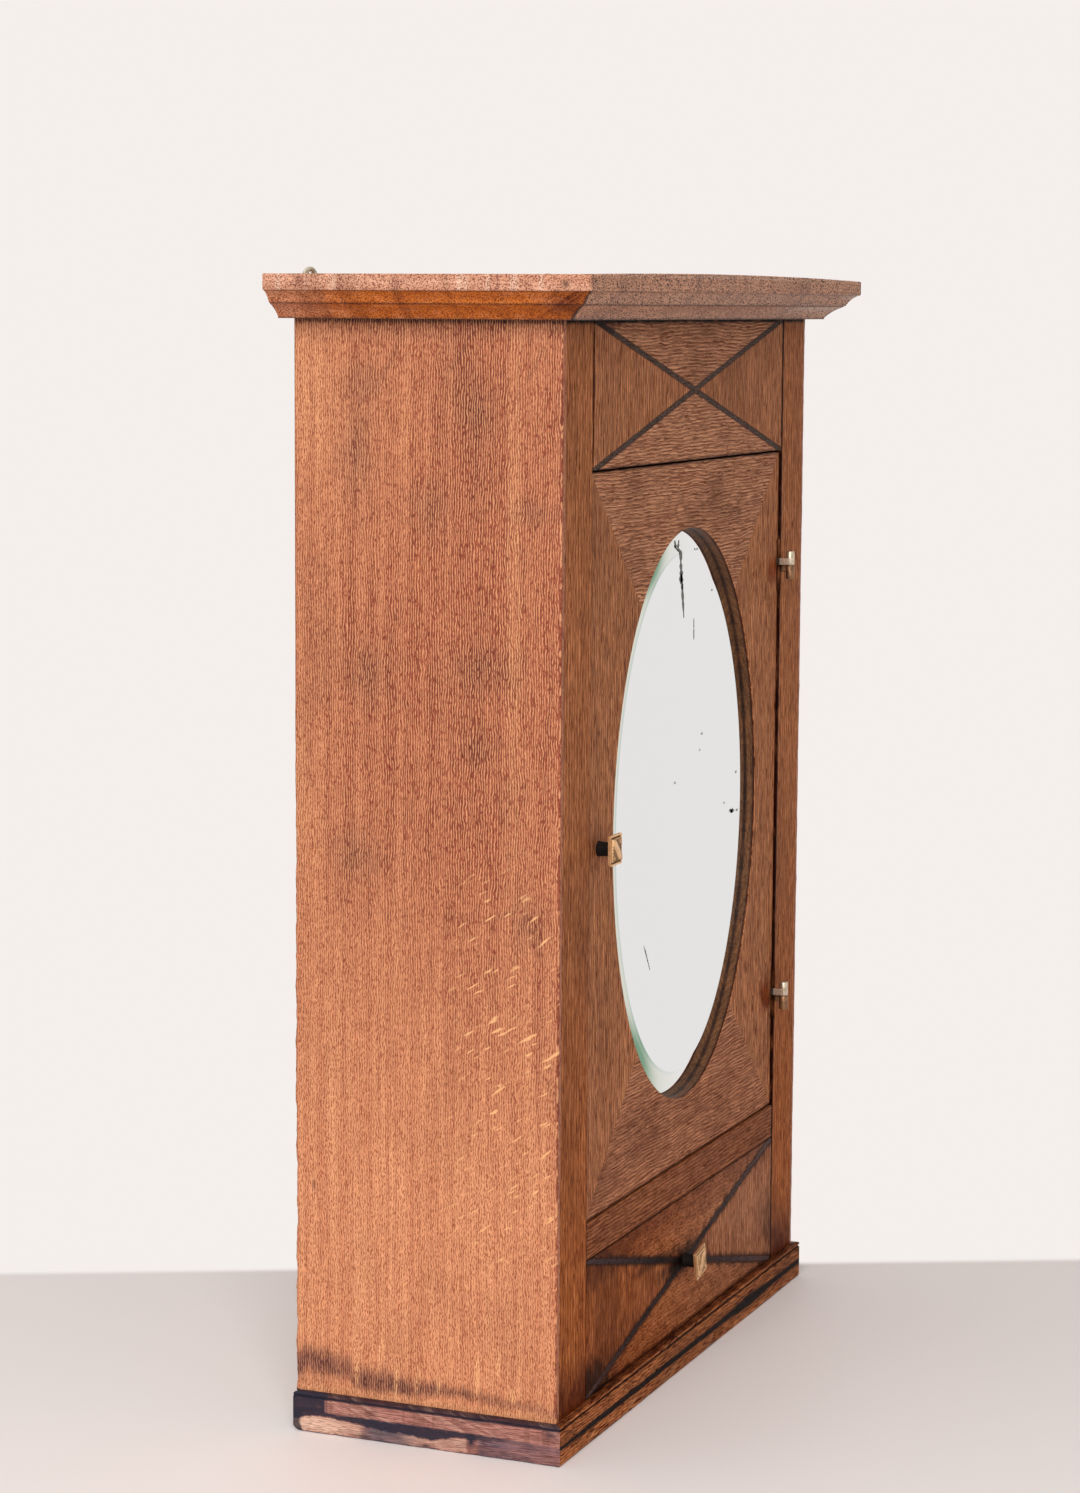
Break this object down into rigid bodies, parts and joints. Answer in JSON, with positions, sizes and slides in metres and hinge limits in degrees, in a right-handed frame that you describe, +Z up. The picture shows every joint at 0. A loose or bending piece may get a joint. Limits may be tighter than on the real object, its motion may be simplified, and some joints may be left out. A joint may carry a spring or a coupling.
{
  "type": "medicine cabinet",
  "caption": "Oak wall cabinet with an oval bevelled mirror in a hinged veneered door, a small drawer below it, a moulded cornice and a grooved base.",
  "frame": {"origin": "on the floor plane, below the middle of the cabinet's outer box", "axes": "+X to the right along the front, +Y to the back, towards the wall, +Z up"},
  "size_m": [0.543, 0.226, 0.765],
  "materials": {
    "oak": "aged oak with a warm red-brown varnish",
    "base_wood": "oak stained black and worn through to brown",
    "veneer": "oak veneer, satin varnish",
    "stringing": "dark stained stringing",
    "inner_wood": "plain unfinished board",
    "mirror": "bevelled and silvered, lightly spotted",
    "knob_brass": "cast, worn on the raised parts",
    "knob_stem": "blackened",
    "hinge_metal": "dull, darkened",
    "catch_brass": "plain",
    "catch_steel": "dull grey"
  },
  "bodies": {
    "cabinet": {"back_panel": "inner_wood", "base_front": "base_wood", "base_left": "base_wood", "base_right": "base_wood", "bottom_board": "inner_wood", "cornice_front": "oak", "cornice_left": "oak", "cornice_right": "oak", "divider_board": "inner_wood", "door_stops": "inner_wood", "drawer_guides": "inner_wood", "frieze_board": "inner_wood", "frieze_stringing": "stringing", "frieze_veneer_ends": "veneer", "frieze_veneer_sides": "veneer", "glue_blocks": "inner_wood", "hanger_screws": "catch_steel", "hanging_rail": "inner_wood", "hinge_frame_leaves": "hinge_metal", "hinge_frame_screws": "hinge_metal", "hinge_pins": "hinge_metal", "left_hanger": "catch_steel", "left_side": "oak", "left_stile": "oak", "lower_shelf": "inner_wood", "middle_rail": "oak", "right_hanger": "catch_steel", "right_side": "oak", "right_stile": "oak", "shelf_battens": "inner_wood", "strike_plate": "catch_brass", "top_board": "inner_wood", "upper_shelf": "inner_wood"},
    "door": {"door_board": "inner_wood", "door_veneer_left": "veneer", "door_veneer_right": "veneer", "door_veneer_top": "veneer", "door_veneer_bottom": "veneer", "mirror_glass": "mirror", "mirror_backing": "inner_wood", "mirror_tabs": "catch_brass", "mirror_tab_screws": "catch_brass", "hinge_door_leaves": "hinge_metal", "hinge_door_screws": "hinge_metal", "catch_barrel": "catch_brass", "door_knob_head": "knob_brass", "door_knob_stem": "knob_stem"},
    "drawer": {"drawer_front": "inner_wood", "drawer_veneer_sides": "veneer", "drawer_veneer_ends": "veneer", "drawer_stringing": "stringing", "drawer_left_side": "inner_wood", "drawer_right_side": "inner_wood", "drawer_back": "inner_wood", "drawer_bottom": "inner_wood", "drawer_knob_head": "knob_brass", "drawer_knob_stem": "knob_stem"},
    "catch_ball": {"catch_ball": "catch_steel"}
  },
  "joints": [
    {"name": "door_hinge", "type": "hinge", "parent": "cabinet", "child": "door", "pos_m": [0.18725, -0.0885, 0.3915], "axis": [0, 0, 1], "range_deg": [0, 170]},
    {"name": "drawer_slide", "type": "slide", "parent": "cabinet", "child": "drawer", "axis": [0, -1, 0], "range_m": [0, 0.115]},
    {"name": "catch_ball_slide", "type": "slide", "parent": "door", "child": "catch_ball", "axis": [1, 0, 0], "range_m": [0, 0.0009], "stiffness_N_per_m": 200}
  ]
}
